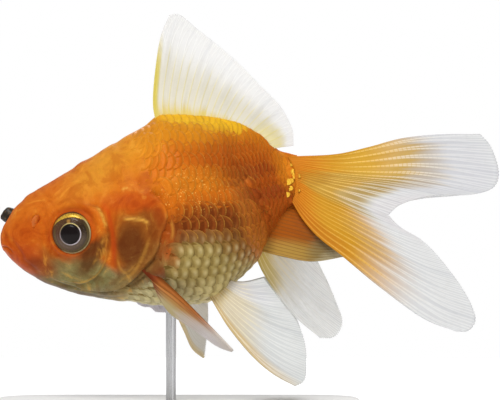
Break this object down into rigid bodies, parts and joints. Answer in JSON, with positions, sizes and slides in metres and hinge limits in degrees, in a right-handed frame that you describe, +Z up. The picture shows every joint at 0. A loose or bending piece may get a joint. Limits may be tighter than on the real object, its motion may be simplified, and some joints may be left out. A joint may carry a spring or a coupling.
{
  "type": "fancy goldfish on a display stand",
  "caption": "Life-size still model of a swimming fantail goldfish, orange over a pale belly, with long fins, held by one rod on a flat base.",
  "frame": {"origin": "middle of the stand's foot, on the surface that it stands on", "axes": "+Z up, the fish faces -X with its left flank towards -Y, pitched 12 degrees head down"},
  "size_m": [0.1257, 0.058, 0.1022],
  "materials": {
    "orange_skin": "wet orange skin",
    "scaled_skin": "glossy metallic orange scales, cream on the belly",
    "gill_plate": "glossy brown orange gill cover",
    "eye": "wet, gloss",
    "dark_skin": "dark brown skin",
    "white_fin": "thin translucent white fin",
    "golden_fin": "thin golden fin, white at the edge",
    "pale_stand": "satin white",
    "steel_rod": "fine brushed"
  },
  "bodies": {
    "root": {"head": "orange_skin", "lower_jaw": "orange_skin", "trunk": "scaled_skin", "tail_stalk": "scaled_skin", "gill_cover_left": "gill_plate", "gill_cover_right": "gill_plate", "eye_left": "eye", "eye_right": "eye", "nostril_flap_left": "orange_skin", "nostril_flap_right": "dark_skin", "dorsal_fin": "white_fin", "pectoral_fin_left": "golden_fin", "pectoral_fin_right": "golden_fin", "pelvic_fin_left": "white_fin", "pelvic_fin_right": "white_fin", "anal_fin_left": "golden_fin", "anal_fin_right": "white_fin", "tail_upper_left": "golden_fin", "tail_upper_right": "golden_fin", "tail_lower_left": "golden_fin", "tail_lower_right": "golden_fin", "breast_fold": "white_fin", "stand_base": "pale_stand", "stand_rod": "steel_rod"}
  },
  "joints": []
}
